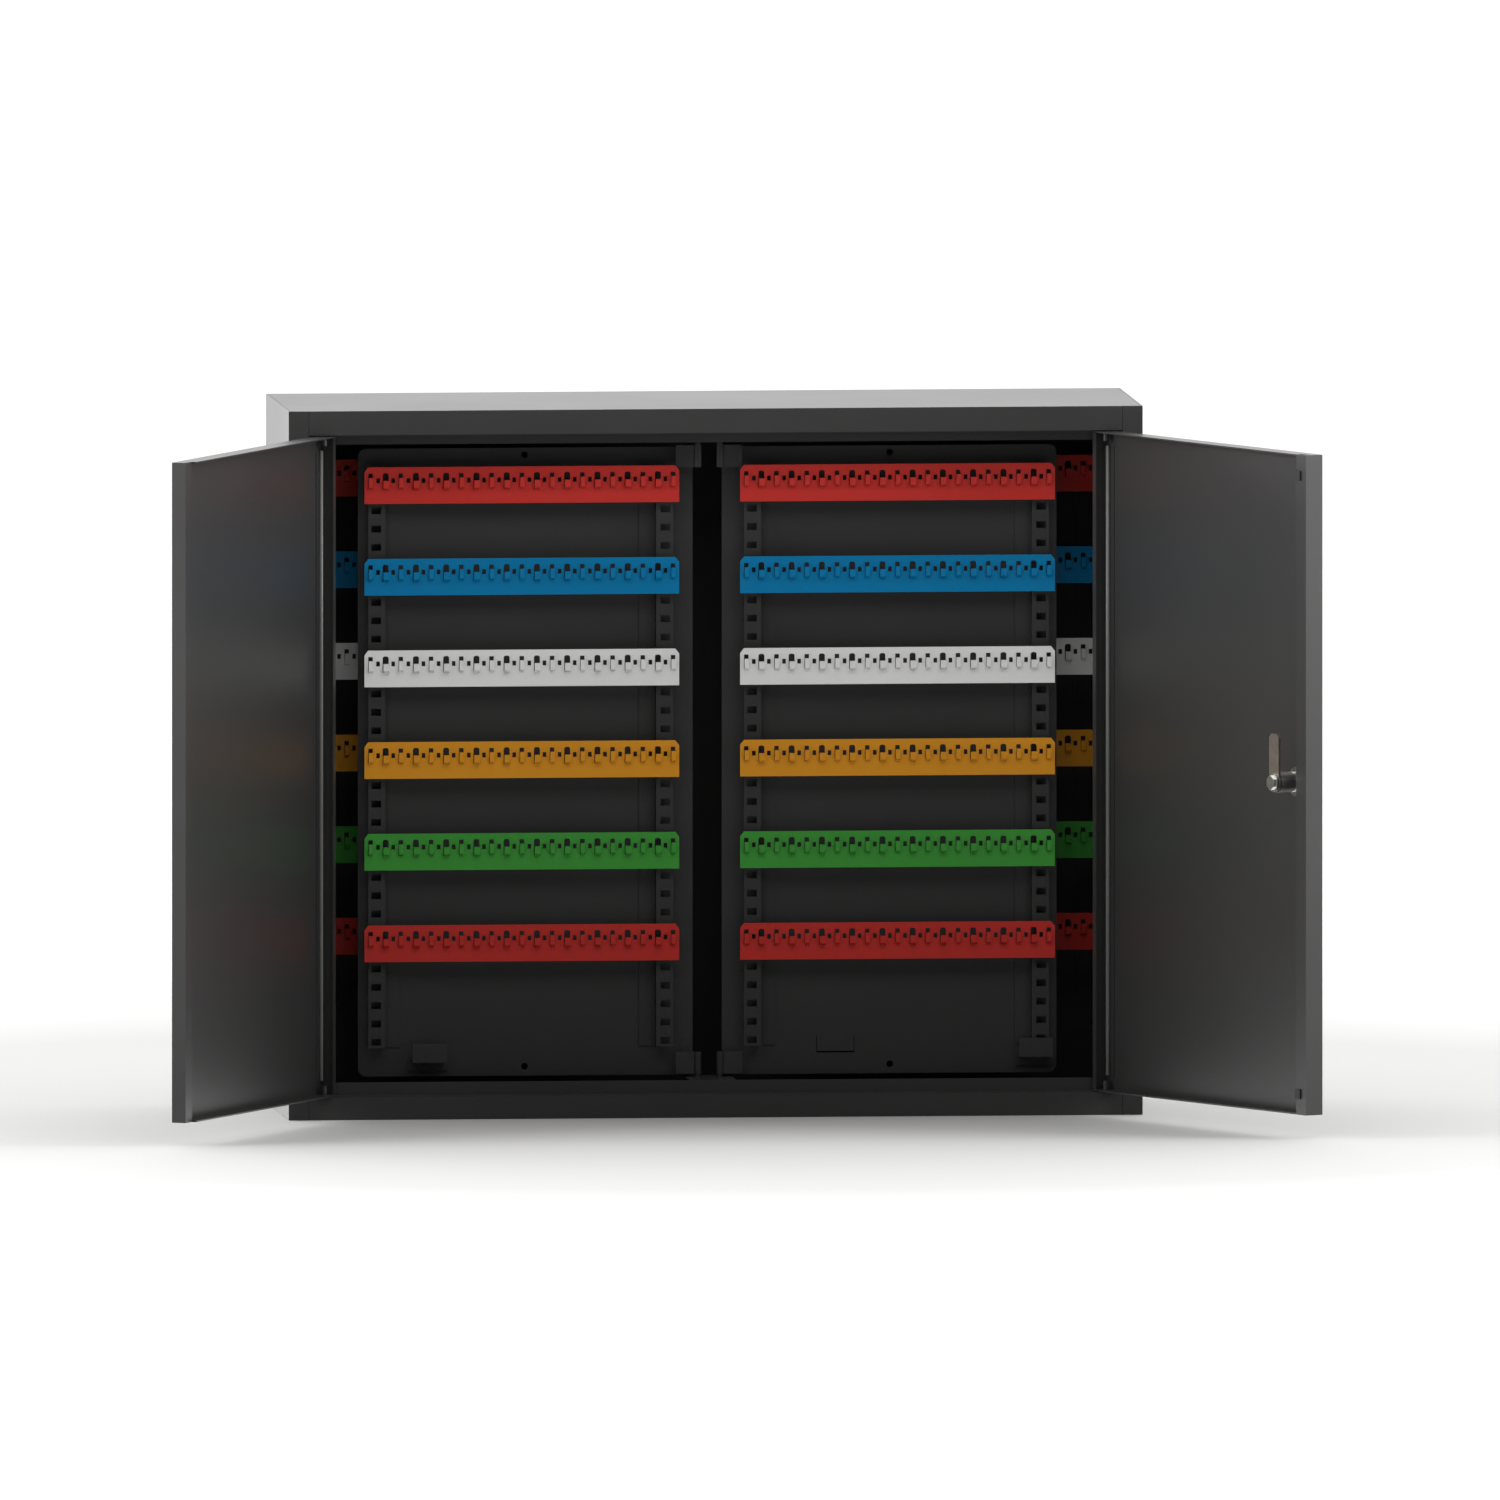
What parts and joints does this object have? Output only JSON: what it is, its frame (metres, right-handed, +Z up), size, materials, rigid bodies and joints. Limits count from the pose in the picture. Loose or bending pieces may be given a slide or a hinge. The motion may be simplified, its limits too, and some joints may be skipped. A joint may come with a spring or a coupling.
{
  "type": "key cabinet",
  "caption": "Two-door wall cabinet in folded sheet steel with swing-out key panels and rows of coloured hook strips behind a cam lock.",
  "frame": {"origin": "centre of the body's underside, half way between its front and back faces", "axes": "+X to the right facing the doors, +Y to the wall, +Z up; the front doors stand open at rest"},
  "size_m": [0.9432, 0.4828, 0.58],
  "materials": {
    "body_powder_coat": "satin anthracite powder coat",
    "red_powder_coat": "satin red powder coat",
    "green_powder_coat": "satin green powder coat",
    "yellow_powder_coat": "satin yellow powder coat",
    "white_powder_coat": "satin white powder coat",
    "blue_powder_coat": "satin blue powder coat",
    "chrome": "nickel plated zinc",
    "bright_steel": "zinc plated steel"
  },
  "bodies": {
    "cabinet": {"bottom_panel": "body_powder_coat", "top_panel": "body_powder_coat", "back_panel": "body_powder_coat", "bottom_pivot_plate": "body_powder_coat", "top_pivot_plate": "body_powder_coat", "left_side_panel": "body_powder_coat", "left_top_hinge_pin": "body_powder_coat", "left_bottom_hinge_pin": "body_powder_coat", "left_rear_inner_rail": "body_powder_coat", "left_rear_outer_rail": "body_powder_coat", "left_rear_strip_1": "red_powder_coat", "left_rear_strip_2": "green_powder_coat", "left_rear_strip_3": "yellow_powder_coat", "left_rear_strip_4": "white_powder_coat", "left_rear_strip_5": "blue_powder_coat", "left_rear_strip_6": "red_powder_coat", "right_side_panel": "body_powder_coat", "right_top_hinge_pin": "body_powder_coat", "right_bottom_hinge_pin": "body_powder_coat", "right_rear_inner_rail": "body_powder_coat", "right_rear_outer_rail": "body_powder_coat", "right_rear_strip_1": "red_powder_coat", "right_rear_strip_2": "green_powder_coat", "right_rear_strip_3": "yellow_powder_coat", "right_rear_strip_4": "white_powder_coat", "right_rear_strip_5": "blue_powder_coat", "right_rear_strip_6": "red_powder_coat"},
    "left_swing_panel": {"left_key_panel": "body_powder_coat", "left_panel_inner_rail": "body_powder_coat", "left_panel_outer_rail": "body_powder_coat", "left_panel_strip_1": "red_powder_coat", "left_panel_strip_2": "green_powder_coat", "left_panel_strip_3": "yellow_powder_coat", "left_panel_strip_4": "white_powder_coat", "left_panel_strip_5": "blue_powder_coat", "left_panel_strip_6": "red_powder_coat", "left_pull_tab": "body_powder_coat", "left_top_pivot_leaf": "body_powder_coat", "left_bottom_pivot_leaf": "body_powder_coat"},
    "left_door_leaf": {"left_door": "body_powder_coat"},
    "right_swing_panel": {"right_key_panel": "body_powder_coat", "right_panel_inner_rail": "body_powder_coat", "right_panel_outer_rail": "body_powder_coat", "right_panel_strip_1": "red_powder_coat", "right_panel_strip_2": "green_powder_coat", "right_panel_strip_3": "yellow_powder_coat", "right_panel_strip_4": "white_powder_coat", "right_panel_strip_5": "blue_powder_coat", "right_panel_strip_6": "red_powder_coat", "right_pull_tab": "body_powder_coat", "right_top_pivot_leaf": "body_powder_coat", "right_bottom_pivot_leaf": "body_powder_coat"},
    "right_door_leaf": {"right_door": "body_powder_coat", "lock_barrel": "chrome", "lock_bracket": "bright_steel", "lock_nut": "chrome"},
    "lock_cam_set": {"lock_plug": "chrome", "lock_cam": "bright_steel", "cam_nut": "chrome"}
  },
  "joints": [
    {"name": "left_door_hinge", "type": "hinge", "parent": "cabinet", "child": "left_door_leaf", "pos_m": [-0.3206, -0.0935, 0.29], "axis": [0, 0, -1], "range_deg": [-117, 6]},
    {"name": "right_door_hinge", "type": "hinge", "parent": "cabinet", "child": "right_door_leaf", "pos_m": [0.3206, -0.0935, 0.29], "axis": [0, 0, 1], "range_deg": [-117, 6]},
    {"name": "left_panel_pivot", "type": "hinge", "parent": "cabinet", "child": "left_swing_panel", "pos_m": [-0.009, -0.04, 0.29], "axis": [0, 0, 1], "range_deg": [0, 70]},
    {"name": "right_panel_pivot", "type": "hinge", "parent": "cabinet", "child": "right_swing_panel", "pos_m": [0.009, -0.04, 0.29], "axis": [0, 0, -1], "range_deg": [0, 70]},
    {"name": "lock_cam_turn", "type": "hinge", "parent": "right_door_leaf", "child": "lock_cam_set", "pos_m": [0.45696, -0.3468, 0.29], "axis": [0.891, 0.454, 0], "range_deg": [0, 90]}
  ]
}
